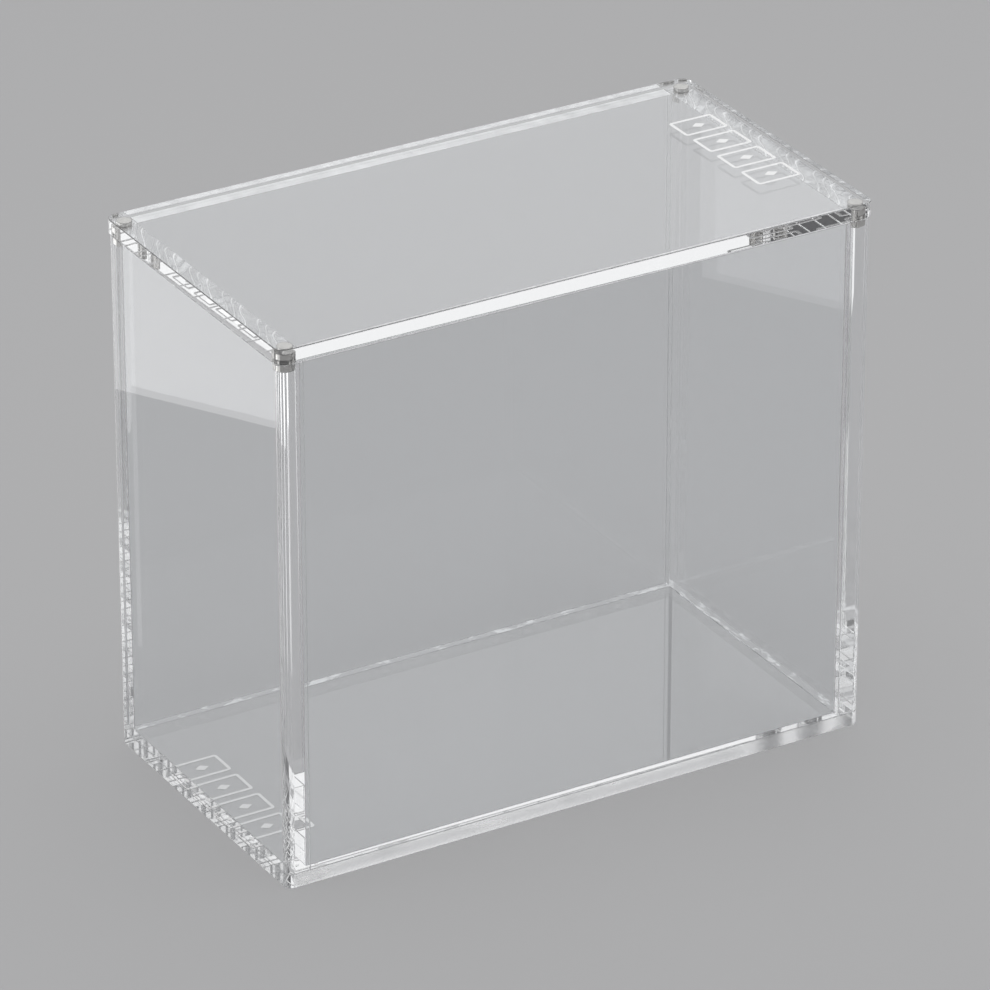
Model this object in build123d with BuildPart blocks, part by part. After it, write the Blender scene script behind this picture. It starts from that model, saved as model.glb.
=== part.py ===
from build123d import *
import os

# Clear acrylic display case for one boxed set of trading cards: an open-topped box of five
# solvent-welded plates, under a loose flat lid that four pairs of disc magnets hold down.
# X runs along the long front, +Y towards the back and +Z up, in millimetres, with the origin
# in the middle of the underside.

os.makedirs("parts", exist_ok=True)

# Cavity that the boxed set stands in, up to the tops of the walls
cavity_length = 193.0
cavity_depth = 100.0
cavity_height = 173.5

# Sheet thicknesses: the end walls are the thick ones, because they carry the magnets
end_wall_thickness = 8.0
long_wall_thickness = 5.0
base_thickness = 5.0
lid_thickness = 5.0

# Solvent cement in each welded joint
cement_gap = 0.05

# The lid stands a little proud of the body all round
lid_overhang = 0.5

# Polished corners and edges
body_corner_radius = 3.0
edge_bevel = 0.3

# Disc magnets, glued into blind pockets so that only their faces stand out
magnet_diameter = 5.0
magnet_height = 3.0
magnet_bevel = 0.25
magnet_inset = 4.0  # from the body's outer faces to the magnet's middle
magnet_proud = 0.2
magnet_parting = 0.1  # air left between a closed pair's faces
glue_gap = 0.05  # round and behind a magnet

# Sizes that follow
case_length = cavity_length + 2 * end_wall_thickness
case_depth = cavity_depth + 2 * long_wall_thickness
wall_bottom = base_thickness + cement_gap
wall_top = base_thickness + cavity_height
wall_height = wall_top - wall_bottom
lid_gap = 2 * magnet_proud + magnet_parting
lid_bottom = wall_top + lid_gap
lid_length = case_length + 2 * lid_overhang
lid_depth = case_depth + 2 * lid_overhang
lid_corner_radius = body_corner_radius + lid_overhang

end_wall_x = (cavity_length + end_wall_thickness) / 2
long_wall_length = cavity_length - 2 * cement_gap
long_wall_y = (cavity_depth + long_wall_thickness) / 2

pocket_diameter = magnet_diameter + 2 * glue_gap
pocket_depth = magnet_height - magnet_proud + glue_gap
magnet_x = case_length / 2 - magnet_inset
magnet_y = case_depth / 2 - magnet_inset
body_magnet_bottom = wall_top - magnet_height + magnet_proud
lid_magnet_bottom = lid_bottom - magnet_proud


# Base plate: full outline of the case, rounded corners, lower edges eased
with BuildPart() as base_plate:
    with BuildSketch():
        RectangleRounded(case_length, case_depth, body_corner_radius)
    extrude(amount=base_thickness)
    chamfer(base_plate.faces().sort_by(Axis.Z)[0].edges(), edge_bevel)

# Left wall: runs the full depth, its two outer corners rounded to the base's outline, with a
# blind magnet pocket in the top edge near each end
with BuildPart() as left_wall:
    with BuildSketch(Plane.XY.offset(wall_bottom)):
        with Locations((-end_wall_x, 0)):
            Rectangle(end_wall_thickness, case_depth)
    extrude(amount=wall_height)
    outer_corners = left_wall.edges().filter_by(Axis.Z).group_by(Axis.X)[0]
    fillet(outer_corners, body_corner_radius)
    with BuildSketch(Plane.XY.offset(wall_top)):
        with Locations((-magnet_x, -magnet_y), (-magnet_x, magnet_y)):
            Circle(pocket_diameter / 2)
    extrude(amount=-pocket_depth, mode=Mode.SUBTRACT)

# Right wall: the left wall's mirror image
with BuildPart() as right_wall:
    mirror(left_wall.part, about=Plane.YZ)

# Front wall: thinner plate welded between the end walls, flush with their front edges
with BuildPart() as front_wall:
    with BuildSketch(Plane.XY.offset(wall_bottom)):
        with Locations((0, -long_wall_y)):
            Rectangle(long_wall_length, long_wall_thickness)
    extrude(amount=wall_height)

# Back wall: the front wall's mirror image
with BuildPart() as back_wall:
    mirror(front_wall.part, about=Plane.XZ)

# Lid plate: rounded corners, both rims eased, four blind magnet pockets in the underside
with BuildPart() as lid_plate:
    with BuildSketch(Plane.XY.offset(lid_bottom)):
        RectangleRounded(lid_length, lid_depth, lid_corner_radius)
    extrude(amount=lid_thickness)
    lid_faces = lid_plate.faces().sort_by(Axis.Z)
    chamfer(lid_faces[0].edges() + lid_faces[-1].edges(), edge_bevel)
    with BuildSketch(Plane.XY.offset(lid_bottom)):
        with GridLocations(2 * magnet_x, 2 * magnet_y, 2, 2):
            Circle(pocket_diameter / 2)
    extrude(amount=pocket_depth, mode=Mode.SUBTRACT)

base_plate.part.label = "base_plate"
left_wall.part.label = "left_wall"
right_wall.part.label = "right_wall"
front_wall.part.label = "front_wall"
back_wall.part.label = "back_wall"
lid_plate.part.label = "lid_plate"
for plate in (base_plate, left_wall, right_wall, front_wall, back_wall, lid_plate):
    export_step(plate.part, f"parts/{plate.part.label}.step")

# Disc magnets: eight alike, one in the lid and one in an end wall at each corner
for owner, magnet_bottom in (("lid", lid_magnet_bottom), ("body", body_magnet_bottom)):
    for row, y in (("front", -magnet_y), ("back", magnet_y)):
        for side, x in (("left", -magnet_x), ("right", magnet_x)):
            with BuildPart() as magnet:
                with BuildSketch(Plane.XY.offset(magnet_bottom)):
                    with Locations((x, y)):
                        Circle(magnet_diameter / 2)
                extrude(amount=magnet_height)
                chamfer(magnet.edges().filter_by(GeomType.CIRCLE), magnet_bevel)
            magnet.part.label = f"{owner}_magnet_{row}_{side}"
            export_step(magnet.part, f"parts/{magnet.part.label}.step")
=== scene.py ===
import bpy
import numpy as np
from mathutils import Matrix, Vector
from mathutils.geometry import tessellate_polygon


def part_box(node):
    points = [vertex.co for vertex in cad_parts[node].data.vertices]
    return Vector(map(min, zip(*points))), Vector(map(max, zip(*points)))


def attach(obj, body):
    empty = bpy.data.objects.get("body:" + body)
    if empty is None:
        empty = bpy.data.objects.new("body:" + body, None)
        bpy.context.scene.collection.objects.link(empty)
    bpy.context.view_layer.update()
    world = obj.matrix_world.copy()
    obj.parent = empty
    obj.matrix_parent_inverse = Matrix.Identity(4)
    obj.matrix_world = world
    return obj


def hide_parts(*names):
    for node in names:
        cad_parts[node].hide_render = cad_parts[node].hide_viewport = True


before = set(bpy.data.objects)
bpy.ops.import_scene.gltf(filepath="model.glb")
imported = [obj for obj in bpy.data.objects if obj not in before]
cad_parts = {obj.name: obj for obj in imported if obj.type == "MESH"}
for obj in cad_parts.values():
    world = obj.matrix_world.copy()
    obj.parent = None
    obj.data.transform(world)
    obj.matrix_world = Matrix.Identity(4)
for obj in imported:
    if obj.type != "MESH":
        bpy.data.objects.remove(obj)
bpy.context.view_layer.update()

# ---- Camera ---------------------------------------------------------------------------
# A long lens looks down on the case's front left corner, so that its upright corners stay
# all but upright.
view_turn = np.radians(-30.4)
view_rise = np.radians(27.1)
view_distance = 2.195
view_aim = Vector((-0.0004, -0.0033, 0.0866))

camera_data = bpy.data.cameras.new("camera")
camera_data.sensor_width = 36.0
camera_data.lens = 254.5
camera_data.clip_end = 50.0
camera = bpy.data.objects.new("camera", camera_data)
towards_camera = Vector((np.sin(view_turn) * np.cos(view_rise),
                         -np.cos(view_turn) * np.cos(view_rise),
                         np.sin(view_rise)))
camera.location = view_aim + view_distance * towards_camera
camera.rotation_euler = (-towards_camera).to_track_quat("-Z", "Y").to_euler()
bpy.context.scene.collection.objects.link(camera)
bpy.context.scene.camera = camera


# ---- Base plate -----------------------------------------------------------------------
# Clear cast acrylic sheet, cut to the full outline of the case, its front edge left satin from
# the mill and the others polished. The walls are run to its top with solvent cement, which leaves
# clear joints with a few fine bubbles. Under the back and right walls the cement also carries
# painted light: a paler film, paler still in patches, for the light those walls carry down to the
# table.
acrylic_index = 1.49
edge_ease = 0.0002
rim_ease = 0.0003
base_low, base_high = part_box("base_plate")
end_wall_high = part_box("left_wall")[1]
long_wall_low, long_wall_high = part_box("front_wall")
cavity_x, cavity_y = -end_wall_high[0], -long_wall_high[1]
outer_radius = 0.003


def new_material(name):
    """An empty material, and the function that adds a node to it. A link is (input, source), and a
    source is an output, or a node for its first output. A setting named as an input, with _ for a
    space, sets it, and any other is the node's own."""
    material = bpy.data.materials.new(name)
    material.use_nodes = True
    tree = material.node_tree
    tree.nodes.clear()

    def add(kind, *links, **settings):
        node = tree.nodes.new(kind)
        for key, value in settings.items():
            sockets = [s for s in node.inputs if key in (s.name.replace(" ", "_"), s.identifier)]
            if sockets:
                sockets[0].default_value = value
            else:
                setattr(node, key, value)
        for key, source in links:
            output = source.outputs[0] if hasattr(source, "outputs") else source
            tree.links.new(output, node.inputs[key])
        return node

    return material, add


def reckon(add, operation, *terms):
    """A Math node on its terms in turn, each a decimal number or a source."""
    sources = [(number, term) for number, term in enumerate(terms) if not isinstance(term, float)]
    node = add("ShaderNodeMath", *sources, operation=operation)
    for socket, term in zip(node.inputs, terms):
        if isinstance(term, float):
            socket.default_value = term
    return node


def rolled(add, place, spacing, height):
    """A gently waved surface: the height in metres of smooth noise with waves spacing apart."""
    waves = add("ShaderNodeTexNoise", ("Vector", place), Scale=1 / spacing, Detail=1.5)
    return reckon(add, "MULTIPLY", waves, height)


def clear_acrylic(name, relief, least, most, milk=None):
    """Clear acrylic with the surface heights that relief gives, in metres. Fine wipe marks haze it,
    from least to most, and milk gives the share of it that is cloudy white, which on
    the flamed ridges is partly a painted highlight. Lamps and soft light cross it straight, less
    what a face mirrors at their slant."""
    wipe_stretch, wipe_turn = (40.0, 900.0, 260.0), (0.3, 0.5, 0.8)
    passed_square, passed_slanting, slant_power = 0.96, 0.88, 5.0
    material, add = new_material(name)
    place = add("ShaderNodeTexCoord").outputs["Object"]
    surface_bump = add("ShaderNodeBump", ("Height", relief(add, place)), Distance=1.0)
    stretched = add("ShaderNodeMapping", ("Vector", place), Scale=wipe_stretch, Rotation=wipe_turn)
    wipes = add("ShaderNodeTexNoise", ("Vector", stretched), Scale=1.0, Detail=3.0)
    rough = add("ShaderNodeMapRange", ("Value", wipes), From_Min=0.55, From_Max=0.80,
                To_Min=least, To_Max=most)
    surface = add("ShaderNodeBsdfPrincipled", ("Roughness", rough), ("Normal", surface_bump),
                  Base_Color=(0.985, 0.993, 1.0, 1.0), IOR=acrylic_index, Transmission_Weight=1.0)
    if milk:
        clear = add("ShaderNodeMapRange", ("Value", milk(add, place)), To_Min=1.0, To_Max=0.0)
        material.node_tree.links.new(clear.outputs["Result"], surface.inputs["Transmission Weight"])
    path = add("ShaderNodeLightPath")
    straight = reckon(add, "MAXIMUM", path.outputs["Is Shadow Ray"], path.outputs["Is Diffuse Ray"])
    slant = add("ShaderNodeLayerWeight", Blend=0.5)
    steep = reckon(add, "POWER", slant.outputs["Facing"], slant_power)
    passed = add("ShaderNodeMapRange", ("Value", steep), To_Min=passed_square,
                 To_Max=passed_slanting)
    through = add("ShaderNodeBsdfTransparent", ("Color", passed))
    either = add("ShaderNodeMixShader", (0, straight), (1, surface), (2, through))
    add("ShaderNodeOutputMaterial", ("Surface", either))
    return material


def cemented(name, film, bubble_size, bubble_share, patches=0.0, bead_highlight_share=None):
    """A face that cement joins to the next piece, so that light crosses it unbent, all but the
    share film that it scatters, by the share patches more in pale patches of painted light, which
    stand in for light that a wall throws down there, and the denser bubbles, bubble_size apart in
    metres. bead_highlight_share gives the share where it has run out in beads, painted white as a
    highlight too. Lamps shine through it unweakened."""
    light_patches_per_metre = 150.0
    material, add = new_material(name)
    place = add("ShaderNodeTexCoord").outputs["Object"]
    # Pale patches of painted light, standing in for light that a wall throws down onto the table.
    light_patch_noise = add("ShaderNodeTexNoise", ("Vector", place), Scale=light_patches_per_metre, Detail=2.0)
    cloud = add("ShaderNodeMapRange", ("Value", light_patch_noise), From_Min=0.52, From_Max=0.62,
                To_Min=film, To_Max=film + patches)
    cells = add("ShaderNodeTexVoronoi", ("Vector", place), Scale=1 / bubble_size)
    scattered = add("ShaderNodeMapRange", ("Value", cells), ("To Max", cloud), From_Min=0.09,
                    From_Max=0.13, To_Min=bubble_share)
    if bead_highlight_share:
        scattered = reckon(add, "MAXIMUM", scattered, bead_highlight_share(add, place))
    clear = add("ShaderNodeBsdfTransparent", Color=(1.0, 1.0, 1.0, 1.0))
    milky = add("ShaderNodeBsdfPrincipled", Base_Color=(0.86, 0.87, 0.88, 1.0), Roughness=0.35)
    not_shadow = reckon(add, "SUBTRACT", 1.0, add("ShaderNodeLightPath").outputs["Is Shadow Ray"])
    share = reckon(add, "MULTIPLY", scattered, not_shadow)
    mixed = add("ShaderNodeMixShader", (0, share), (1, clear), (2, milky))
    add("ShaderNodeOutputMaterial", ("Surface", mixed))
    return material


def as_cast(add, place):
    """Broad, barely raised waves, as the sheet was cast."""
    return rolled(add, place, spacing=0.05, height=0.00001)


def as_polished(add, place):
    """Shorter and fainter waves, from the polishing wheel."""
    return rolled(add, place, spacing=0.014, height=0.000004)


sheet_finishes = [
    clear_acrylic("cast_face", as_cast, least=0.0, most=0.015),
    clear_acrylic("polished_edge", as_polished, least=0.0, most=0.02),
    cemented("cemented_joint", film=0.04, bubble_size=0.0024, bubble_share=0.35),
    # Under the back and right walls: a paler film, paler still in patches, painted light for the
    # light those walls carry down.
    cemented("cemented_foot", film=0.15, bubble_size=0.0024, bubble_share=0.45, patches=0.6),
    cemented("glued_pocket", film=0.03, bubble_size=0.0012, bubble_share=0.25),
]
CAST, EDGE, JOINT, FOOT, POCKET = range(len(sheet_finishes))
OWN, OWN_JOINT = len(sheet_finishes), len(sheet_finishes) + 1


def outline(low, high, radii, stops):
    """The rectangle from low to high, anticlockwise from its front left corner, with each corner a
    quarter circle of its own radius, and the heights y in stops as further points on both upright
    sides. Gives the points and their outward directions, each (n, 2)."""
    corners = np.array([(low[0], low[1]), (high[0], low[1]), (high[0], high[1]), (low[0], high[1])])
    inward = np.array([(1, 1), (-1, 1), (-1, -1), (1, -1)])
    quarter = np.linspace(0, np.pi / 2, 13)
    points, directions = [], []
    for number in range(4):
        angle = np.pi * (1 + number / 2) + quarter
        turn = np.stack([np.cos(angle), np.sin(angle)], axis=1)
        points.append(corners[number] + radii[number] * (inward[number] + turn))
        directions.append(turn)
        if number in (1, 3):
            away = 2 - number
            rows = np.sort(np.array(stops, dtype=float))[::away]
            points.append(np.stack([np.full(len(rows), corners[number][0]), rows], axis=1))
            directions.append(np.tile((float(away), 0.0), (len(rows), 1)))
    return np.concatenate(points), np.concatenate(directions)


def eased_side(low_z, high_z, low_ease, high_ease):
    """The side of a plate from its lower to its upper face, each rim a quarter circle: how far in
    each point lies, its height, and how far up the surface faces there as an angle, each (n,)."""
    turn = np.linspace(0, np.pi / 2, 5)
    inset = np.concatenate([low_ease * (1 - np.sin(turn)), high_ease * (1 - np.cos(turn))])
    height = np.concatenate([low_z + low_ease * (1 - np.cos(turn)),
                             high_z - high_ease * (1 - np.sin(turn))])
    return inset, height, np.concatenate([turn - np.pi / 2, turn])


def ring_quads(first, rings, around):
    """Quads between closed rings of around points each, numbered from first, ring by ring."""
    ring, point = np.meshgrid(np.arange(rings - 1), np.arange(around), indexing="ij")
    beside = (point + 1) % around
    here, above = ring * around, (ring + 1) * around
    corners = [here + point, here + beside, above + beside, above + point]
    return first + np.stack(corners, axis=-1).reshape(-1, 4)


def pocket_wall(middle, radius, mouth, floor):
    """A blind round pocket as rings from its mouth to its floor, at the heights mouth and floor: a
    cylinder with its rim and inner corner as quarter circles. Gives the points and the directions
    in which the surface faces, each (rings, sides, 3)."""
    ease, sides = 0.0001, 64
    down = np.sign(floor - mouth)
    turn = np.linspace(0, np.pi / 2, 5)
    reach = np.concatenate([radius + ease * (1 - np.sin(turn)), radius - ease * (1 - np.cos(turn))])
    depth = np.concatenate([ease * (1 - np.cos(turn)),
                            abs(floor - mouth) - ease * (1 - np.sin(turn))])
    tilt = np.concatenate([np.pi / 2 - turn, turn])
    angle = np.linspace(0, 2 * np.pi, sides, endpoint=False)
    spokes = np.stack([np.cos(angle), np.sin(angle)], axis=1)
    points = np.empty((len(reach), sides, 3))
    points[..., :2] = np.array(middle) + reach[:, None, None] * spokes
    points[..., 2] = (mouth + down * depth)[:, None]
    facing = np.empty_like(points)
    facing[..., :2] = -np.cos(tilt)[:, None, None] * spokes
    facing[..., 2] = (-down * np.sin(tilt))[:, None]
    return points, facing


def flat_face(points, loops, up):
    """Triangles, all facing up or down, inside the first loop of point numbers and outside the
    other loops."""
    numbers = np.concatenate(loops)
    picked = tessellate_polygon([[Vector(points[i]) for i in loop] for loop in loops])
    triangles = numbers[np.array(picked)]
    a, b, c = points[triangles[:, 0]], points[triangles[:, 1]], points[triangles[:, 2]]
    turned = np.cross(b - a, c - a)[:, 2] * up < 0
    triangles[turned] = triangles[turned][:, ::-1]
    return triangles


def put_piece(name, points, facing, faces, finishes, slots, body, node):
    """Makes a mesh of the arrays, with the exact surface directions in facing, and lets it ride on
    its body in place of the node that it stands for."""
    mesh = bpy.data.meshes.new(name)
    mesh.from_pydata(points.tolist(), [], [list(face) for face in faces])
    for finish in finishes:
        mesh.materials.append(finish)
    mesh.polygons.foreach_set("material_index", np.array(slots, dtype=np.int32))
    mesh.polygons.foreach_set("use_smooth", np.ones(len(faces), dtype=bool))
    mesh.update()
    mesh.normals_split_custom_set_from_vertices(facing.tolist())
    piece = bpy.data.objects.new(name, mesh)
    bpy.context.scene.collection.objects.link(piece)
    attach(piece, body)
    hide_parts(node)


def sheet(name, node, body, radii, eases, side_finish, low_finish, high_finish, pockets=(),
          stops=(), inner=None, own_finishes=()):
    """One plate in its node's box: the outline carried up the eased side, pockets sunk in it, and
    both flat faces closed. side_finish gives a side quad's finish from its middle and facing; inner
    is the half size of the part of the upper face that lies inside the walls and stays as cast, and
    own_finishes are the finishes that only this sheet has, numbered after the others."""
    low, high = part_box(node)
    around, outward = outline(low, high, radii, stops)
    inset, height, rise = eased_side(low[2], high[2], *eases)
    side = np.empty((len(inset), len(around), 3))
    side[..., :2] = around - inset[:, None, None] * outward
    side[..., 2] = height[:, None]
    side_facing = np.empty_like(side)
    side_facing[..., :2] = np.cos(rise)[:, None, None] * outward
    side_facing[..., 2] = np.sin(rise)[:, None]
    points, facing = [side.reshape(-1, 3)], [side_facing.reshape(-1, 3)]
    quads = ring_quads(0, *side.shape[:2])
    middles, facings = points[0][quads].mean(axis=1), facing[0][quads].mean(axis=1)
    slots = [side_finish(middle, way) for middle, way in zip(middles, facings)]
    faces = quads.tolist()
    count = len(points[0])
    loops = {-1: [np.arange(len(around))], 1: [np.arange(len(around)) + count - len(around)]}
    for middle, radius, mouth, floor in pockets:
        wall, wall_facing = pocket_wall(middle, radius, mouth, floor)
        up = 1 if floor < mouth else -1
        sides = wall.shape[1]
        bottom = np.arange(sides) + count + wall.shape[0] * sides - sides
        faces += [quad[::up] for quad in ring_quads(count, *wall.shape[:2]).tolist()]
        faces.append(bottom[::up].tolist())
        loops[up].append(np.arange(sides) + count)
        points.append(wall.reshape(-1, 3))
        facing.append(wall_facing.reshape(-1, 3))
        count += wall.shape[0] * sides
    slots += [POCKET] * (len(faces) - len(slots))
    if inner:
        corner = np.arange(4) + count
        around_inner = np.array(((-1, -1), (1, -1), (1, 1), (-1, 1))) * inner
        points.append(np.column_stack([around_inner, np.full(len(corner), high[2])]))
        facing.append(np.tile((0.0, 0.0, 1.0), (4, 1)))
        loops[1].append(corner)
        faces.append(corner.tolist())
        slots.append(CAST)
    points, facing = np.concatenate(points), np.concatenate(facing)
    for up, finish in ((-1, low_finish), (1, high_finish)):
        triangles = flat_face(points, loops[up], up)
        faces += triangles.tolist()
        slots += [finish] * len(triangles)
    finishes = sheet_finishes + list(own_finishes)
    put_piece(name, points, facing, faces, finishes, slots, body, node)


def milled(add, place):
    """Fine cutter marks along an edge that runs along X."""
    marks = add("ShaderNodeMapping", ("Vector", place), Scale=(60.0, 1200.0, 2400.0))
    return rolled(add, marks, spacing=1.0, height=0.00001)


def base_edge_finish(middle, facing):
    """Satin where the edge faces squarely to the front, and polished elsewhere."""
    return OWN if facing[1] < -0.95 else EDGE


milled_edge = clear_acrylic("milled_edge", milled, least=0.22, most=0.34)
sheet("base_sheet", "base_plate", "case", [outer_radius] * 4, (rim_ease, edge_ease),
      base_edge_finish, CAST, JOINT, inner=(cavity_x, cavity_y), own_finishes=[milled_edge])


# ---- End walls ------------------------------------------------------------------------
# Thicker clear sheet, run the full depth, with the outer upright corners turned to the base's
# radius and the long walls cemented to the inner faces. The flame that polished the top edges
# has crowned and streaked them, and each holds a magnet in a blind pocket near either end. The
# streaks' ridge tops are a cloudy white that is partly a painted highlight for the light that
# the ridges refract.
glue_film = 0.00005


def flame_streaks(add, place):
    """How far up a ridge each point is, from 0 to 1. Ridges run across the edge with a lean and an
    S bend, one broad and two narrow in each stretch that the torch was moved on."""
    stretch, lean, bend = 0.021, -1.7, 0.0016
    wander_spacing, wander = 0.012, 0.005
    # How far along a stretch, and how far up a ridge there
    levels = ((0.0, 0.05), (0.03, 0.1), (0.08, 1.0), (0.13, 0.1), (0.3, 0.0), (0.34, 0.7),
              (0.38, 0.0), (0.56, 0.0), (0.6, 0.6), (0.64, 0.0), (1.0, 0.05))
    edge_width = base_high[0] - cavity_x
    axes = add("ShaderNodeSeparateXYZ", ("Vector", place))
    across, on = axes.outputs["X"], axes.outputs["Y"]
    swing = reckon(add, "SINE", reckon(add, "MULTIPLY", across, 2 * np.pi / edge_width))
    leant = reckon(add, "MULTIPLY_ADD", across, lean, on)
    bent = reckon(add, "MULTIPLY_ADD", swing, bend, leant)
    along = reckon(add, "ADD", bent, rolled(add, place, wander_spacing, wander))
    turns = reckon(add, "FRACT", reckon(add, "DIVIDE", along, stretch))
    profile = add("ShaderNodeValToRGB", ("Fac", turns))
    heights = profile.color_ramp
    heights.interpolation = "EASE"
    while len(heights.elements) < len(levels):
        heights.elements.new(0.5)
    for element, (at, level) in zip(heights.elements, levels):
        element.position = at
        element.color = (level, level, level, 1.0)
    return profile


def flame_polished(add, place):
    """Ridges on an edge that the flame has crowned: the crown falls with the square of the distance
    from the middle of the edge."""
    crown_curve, ridge_height = -9.0, 0.00025
    across = add("ShaderNodeSeparateXYZ", ("Vector", place)).outputs["X"]
    off = reckon(add, "SUBTRACT", reckon(add, "ABSOLUTE", across), (cavity_x + base_high[0]) / 2)
    crown = reckon(add, "MULTIPLY", off, off)
    ridges = reckon(add, "MULTIPLY", flame_streaks(add, place), ridge_height)
    return reckon(add, "MULTIPLY_ADD", crown, crown_curve, ridges)


def ridge_milk(add, place):
    """Cloudy white the higher up a ridge, to the share ridge_top_white on its top: partly
    cloudiness and partly a painted highlight for the light that the ridges refract.
    """
    ridge_top_white = 0.8
    return reckon(add, "MULTIPLY", flame_streaks(add, place), ridge_top_white)


# The cloudy white on the ridge tops is partly a painted highlight.
flamed_edge = clear_acrylic("flame_polished_edge", flame_polished, least=0.0, most=0.03,
                            milk=ridge_milk)


def magnet_middle(node):
    """The middle of a magnet in plan."""
    low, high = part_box(node)
    return (low[0] + high[0]) / 2, (low[1] + high[1]) / 2


def magnet_radius(node):
    low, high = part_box(node)
    return (high[0] - low[0]) / 2


def end_wall_finish(middle, facing):
    """Flamed on the top rim, cemented on the bottom one and where a long wall meets the inner face,
    polished on the upright edges and corners, and as cast elsewhere."""
    if abs(facing[2]) > 0.1:
        return OWN if facing[2] > 0 else JOINT
    if abs(facing[0]) < 0.99:
        return EDGE
    inside = abs(middle[0]) < cavity_x + edge_ease
    return JOINT if inside and abs(middle[1]) > cavity_y else CAST


for side, radii in (("left", [outer_radius, edge_ease, edge_ease, outer_radius]),
                    ("right", [edge_ease, outer_radius, outer_radius, edge_ease])):
    pockets = []
    for row in ("front", "back"):
        node = f"body_magnet_{row}_{side}"
        pockets.append((magnet_middle(node), magnet_radius(node) + glue_film, end_wall_high[2],
                        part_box(node)[0][2] - glue_film))
    sheet(f"{side}_end_sheet", f"{side}_wall", "case", radii, (edge_ease, edge_ease),
          end_wall_finish, FOOT if side == "right" else JOINT, OWN, pockets,
          stops=(-cavity_y, cavity_y), own_finishes=[flamed_edge])


# ---- Long walls -----------------------------------------------------------------------
# Thinner clear sheet, cemented between the end walls and down on the base, flush outside. Its
# top edge is left satin from the router, and the cement of its upright joints has run out into
# a fine bead along each edge, painted white as a highlight that stands in for the bright line
# along each corner.
def routed(add, place):
    """Fine cutter marks along the edge."""
    marks = add("ShaderNodeMapping", ("Vector", place), Scale=(300.0, 6000.0, 300.0))
    return rolled(add, marks, spacing=1.0, height=0.00001)


def chalky(add, place):
    """Cloudy by up to nine tenths, in patches a few millimetres apart."""
    return rolled(add, place, spacing=0.004, height=0.9)


satin_edge = clear_acrylic("satin_edge", routed, least=0.3, most=0.5, milk=chalky)
# The white of the beads is partly a painted highlight for the bright line along each corner.
bead_width, bead_fade, white_bead_highlight = 0.0008, 0.0001, 0.95


def cement_bead_highlight(add, place):
    """White within bead_width of the joint's two edges, by how far a point is, either way, from the
    middle of the wall's thickness: a cement bead, painted white as a highlight too."""
    half = (long_wall_high[1] - long_wall_low[1]) / 2
    out = reckon(add, "ABSOLUTE", add("ShaderNodeSeparateXYZ", ("Vector", place)).outputs["Y"])
    off = reckon(add, "ABSOLUTE", reckon(add, "SUBTRACT", out, cavity_y + half))
    return add("ShaderNodeMapRange", ("Value", off), From_Min=half - bead_width - bead_fade,
               From_Max=half - bead_width, To_Max=white_bead_highlight)


beaded_joint = cemented("beaded_joint", film=0.04, bubble_size=0.0024, bubble_share=0.35,
                        bead_highlight_share=cement_bead_highlight)


def long_wall_finish(middle, facing):
    """Cemented at both ends, and as cast elsewhere."""
    return OWN_JOINT if abs(facing[0]) > 0.9 else CAST


for row in ("front", "back"):
    sheet(f"{row}_long_sheet", f"{row}_wall", "case", [edge_ease] * 4, (edge_ease, edge_ease),
          long_wall_finish, FOOT if row == "back" else JOINT, OWN,
          own_finishes=[satin_edge, beaded_joint])


# ---- Lid ------------------------------------------------------------------------------
# Clear cast sheet a little larger than the case, polished all round, with four magnets glued
# into blind pockets from below. It lies loose on the case's own magnets.
lid_low, lid_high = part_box("lid_plate")
lid_radius = 0.0035
pockets = []
for row in ("front", "back"):
    for side in ("left", "right"):
        node = f"lid_magnet_{row}_{side}"
        pockets.append((magnet_middle(node), magnet_radius(node) + glue_film, lid_low[2],
                        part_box(node)[1][2] + glue_film))
sheet("lid_sheet", "lid_plate", "lid", [lid_radius] * 4, (rim_ease, rim_ease),
      lambda middle, facing: EDGE, CAST, CAST, pockets)


# ---- Engraving ------------------------------------------------------------------------
# A row of four blank cards, each with a small diamond, engraved by laser into the lid's top
# near its right end and into the base's underside near its left end, as a white frost.
card_width, card_height, card_radius = 0.0112, 0.0158, 0.0013
card_count, card_pitch = 4, 0.0142
stroke = 0.0011
diamond_reach = np.array((0.0024, 0.0017))  # from its middle to its tips along X and Y
frost_depth, frost_thickness = 0.00004, 0.00005
mark_inset = 0.0165  # from the sheet's end to the middle of the row

frost, add = new_material("laser_frost")
place = add("ShaderNodeTexCoord").outputs["Object"]
grain = add("ShaderNodeTexNoise", ("Vector", place), Scale=6000.0, Detail=3.0)
pale = add("ShaderNodeMapRange", ("Value", grain), From_Min=0.3, From_Max=0.7, To_Min=0.74,
           To_Max=0.9)
pits = add("ShaderNodeBump", ("Height", grain), Distance=0.00005)
surface = add("ShaderNodeBsdfPrincipled", ("Base Color", pale), ("Normal", pits), Roughness=0.85)
add("ShaderNodeOutputMaterial", ("Surface", surface))


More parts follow.
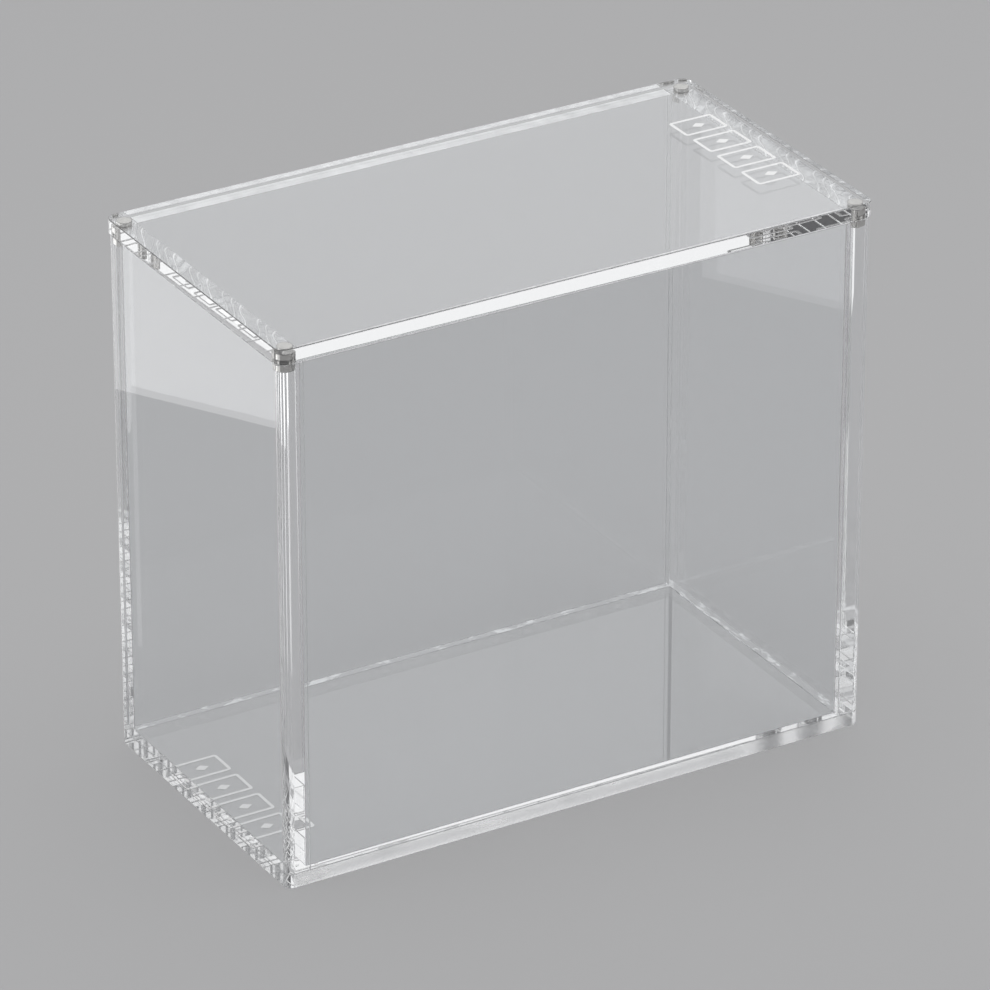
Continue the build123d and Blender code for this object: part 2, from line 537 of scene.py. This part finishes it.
def frosted_row(name, middle_x, bottom, body):
    """Card outlines side by side along Y, frost_thickness high from bottom: each is the closed band
    between two rounded rectangles a stroke apart, round a four-point diamond."""
    points, faces, count = [], [], 0
    half = np.array((card_height, card_width)) / 2
    level = np.array((bottom, bottom + frost_thickness))
    for number in range(card_count):
        middle = np.array((middle_x, (number - (card_count - 1) / 2) * card_pitch))
        rim, outward = outline(middle - half, middle + half, [card_radius] * 4, ())
        inner_rim = rim - stroke * outward
        tips = middle + diamond_reach * np.array([(-1, 0), (0, -1), (1, 0), (0, 1)])
        for rings, heights, closed in (
                (np.stack([rim, rim, inner_rim, inner_rim]), level[[0, 1, 1, 0]], True),
                (np.stack([tips, tips]), level, False)):
            around = rings.shape[1]
            ring = np.empty((len(rings), around, 3))
            ring[..., :2] = rings
            ring[..., 2] = heights[:, None]
            faces += ring_quads(count, len(rings), around).tolist()
            if closed:
                last = ring_quads(count, 2, around)
                last[:, 2:] -= around
                last[:, :2] += 3 * around
                faces += last.tolist()
            else:
                corner = np.arange(around) + count
                faces += [corner[::-1].tolist(), (corner + around).tolist()]
            points.append(ring.reshape(-1, 3))
            count += len(rings) * around
    mesh = bpy.data.meshes.new(name)
    mesh.from_pydata(np.concatenate(points).tolist(), [], faces)
    mesh.materials.append(frost)
    piece = bpy.data.objects.new(name, mesh)
    bpy.context.scene.collection.objects.link(piece)
    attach(piece, body)


frosted_row("lid_engraving", lid_high[0] - mark_inset,
            lid_high[2] - frost_depth - frost_thickness, "lid")
frosted_row("base_engraving", base_low[0] + mark_inset, base_low[2] + frost_depth, "case")


# ---- Magnets --------------------------------------------------------------------------
# Nickel plated discs, glued so that only their faces stand out: four in the end walls and four
# in the lid, which pull the lid down onto the case.
nickel, add = new_material("nickel_plate")
place = add("ShaderNodeTexCoord").outputs["Object"]
tumbled = add("ShaderNodeTexNoise", ("Vector", place), Scale=2500.0, Detail=4.0)
rough = add("ShaderNodeMapRange", ("Value", tumbled), From_Min=0.3, From_Max=0.7,
            To_Min=0.02, To_Max=0.07)
peel = add("ShaderNodeBump", ("Height", tumbled), Distance=0.00001)
metal = add("ShaderNodeBsdfPrincipled", ("Roughness", rough), ("Normal", peel),
            Base_Color=(0.62, 0.61, 0.59, 1.0), Metallic=1.0)
add("ShaderNodeOutputMaterial", ("Surface", metal))


def disc(name, node, body):
    """A ground disc in its node's box: rings whose reach and height follow a rim rounded by a
    quarter circle below and above, closed by two round faces. Grinding leaves the side a touch
    lobed, so the way that it faces swings about each spoke by the sum of two sines."""
    low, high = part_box(node)
    radius, rim, sides = magnet_radius(node), 0.00022, 64
    lobes = ((0.14, 7, 0.0), (0.07, 15, 1.0))  # swing, how many round the side, and their start
    inset, height, rise = eased_side(low[2], high[2], rim, rim)
    angle = np.linspace(0, 2 * np.pi, sides, endpoint=False)
    spokes = np.stack([np.cos(angle), np.sin(angle)], axis=1)
    points = np.empty((len(inset), sides, 3))
    points[..., :2] = np.array(magnet_middle(node)) + (radius - inset)[:, None, None] * spokes
    points[..., 2] = height[:, None]
    swung = angle + sum(swing * np.sin(count * angle + start) for swing, count, start in lobes)
    facing = np.empty_like(points)
    facing[..., :2] = np.cos(rise)[:, None, None] * np.stack([np.cos(swung), np.sin(swung)], axis=1)
    facing[..., 2] = np.sin(rise)[:, None]
    faces = ring_quads(0, len(inset), sides).tolist()
    face = np.arange(sides)
    faces += [face[::-1].tolist(), (face + (len(inset) - 1) * sides).tolist()]
    put_piece(name, points.reshape(-1, 3), facing.reshape(-1, 3), faces, [nickel],
              [0] * len(faces), body, node)


for owner, body in (("body", "case"), ("lid", "lid")):
    for row in ("front", "back"):
        for side in ("left", "right"):
            disc(f"{owner}_disc_{row}_{side}", f"{owner}_magnet_{row}_{side}", body)


# ---- Studio ---------------------------------------------------------------------------
# A plain pale table in a dim room, lit by a large soft light overhead that the acrylic doesn't
# mirror. The softboxes and the white cards round it give its faces and edges their bright lines.
floor_drop = 0.0001
floor_size = 8.0
floor_mesh = bpy.data.meshes.new("floor")
floor_corners = [(x * floor_size, y * floor_size, -floor_drop)
                 for x, y in ((-1, -1), (1, -1), (1, 1), (-1, 1))]
floor_mesh.from_pydata(floor_corners, [], [(0, 1, 2, 3)])
floor = bpy.data.objects.new("floor", floor_mesh)
bpy.context.scene.collection.objects.link(floor)
matt, add = new_material("table_top")
surface = add("ShaderNodeBsdfPrincipled", Base_Color=(0.43, 0.43, 0.435, 1.0), Roughness=0.9,
              Specular_IOR_Level=0.0)
add("ShaderNodeOutputMaterial", ("Surface", surface))
floor_mesh.materials.append(matt)

room_grey = (0.1, 0.1, 0.103, 1)
world = bpy.data.worlds.new("studio")
world.use_nodes = True
world.node_tree.nodes["Background"].inputs["Color"].default_value = room_grey
bpy.context.scene.world = world


def softbox(name, place, aim, width, height, brightness, lights_table=True, in_mirrors=True):
    """A flat lamp at place that faces aim, as bright as white card at 1. One that doesn't light the
    table is only there for its mirror images, so it shines only on rays mirrored at least once."""
    lamp_data = bpy.data.lights.new(name, "AREA")
    lamp_data.shape = "RECTANGLE"
    lamp_data.size = width
    lamp_data.size_y = height
    lamp_data.energy = brightness * np.pi * width * height
    lamp = bpy.data.objects.new(name, lamp_data)
    lamp.location = place
    lamp.rotation_euler = (Vector(aim) - Vector(place)).to_track_quat("-Z", "Y").to_euler()
    lamp.visible_camera = False
    lamp.visible_diffuse = lights_table
    lamp.visible_glossy = lamp.visible_transmission = in_mirrors
    if not lights_table:
        lamp_data.use_nodes = True
        tree = lamp_data.node_tree
        path = tree.nodes.new("ShaderNodeLightPath")
        mirrored = tree.nodes.new("ShaderNodeMath")
        mirrored.operation = "MINIMUM"
        mirrored.inputs[1].default_value = 1.0
        tree.links.new(path.outputs["Glossy Depth"], mirrored.inputs[0])
        tree.links.new(mirrored.outputs["Value"], tree.nodes["Emission"].inputs["Strength"])
    bpy.context.scene.collection.objects.link(lamp)


case_middle = (0.0, 0.0, 0.1)
softbox("softbox_back", (0.55, 2.13, 1.25), case_middle, 3.2, 1.3, 0.84)
softbox("softbox_left", (-1.9, 0.3, 1.3), case_middle, 1.6, 1.4, 0.84)
softbox("softbox_right", (1.25, -1.6, 1.2), case_middle, 1.6, 1.3, 0.84)
softbox("softbox_over", (0.2, 0.1, 2.2), case_middle, 2.0, 2.0, 3.55, in_mirrors=False)
softbox("white_card", (-0.238, 0.252, 0.075), (-0.067, 0.149, 0.075), 0.36, 0.15, 1.0,
        lights_table=False)
# Two grey cards about as tall as the case
tall, half_up, grey = 0.178, 0.089, 0.55
softbox("near_card", (-0.0896, 0.1830, half_up), (0.7724, -0.3230, half_up), 0.176, tall, grey,
        lights_table=False)
softbox("left_card", (-0.21, 0.0, half_up), (0.0, 0.0, half_up), 0.2, tall, grey,
        lights_table=False)

scene = bpy.context.scene
scene.view_settings.view_transform = "Standard"
crossings = 64  # faces of the clear sheets that one ray may cross or be mirrored by
scene.cycles.max_bounces = crossings
scene.cycles.transmission_bounces = crossings
scene.cycles.glossy_bounces = crossings
scene.cycles.transparent_max_bounces = crossings
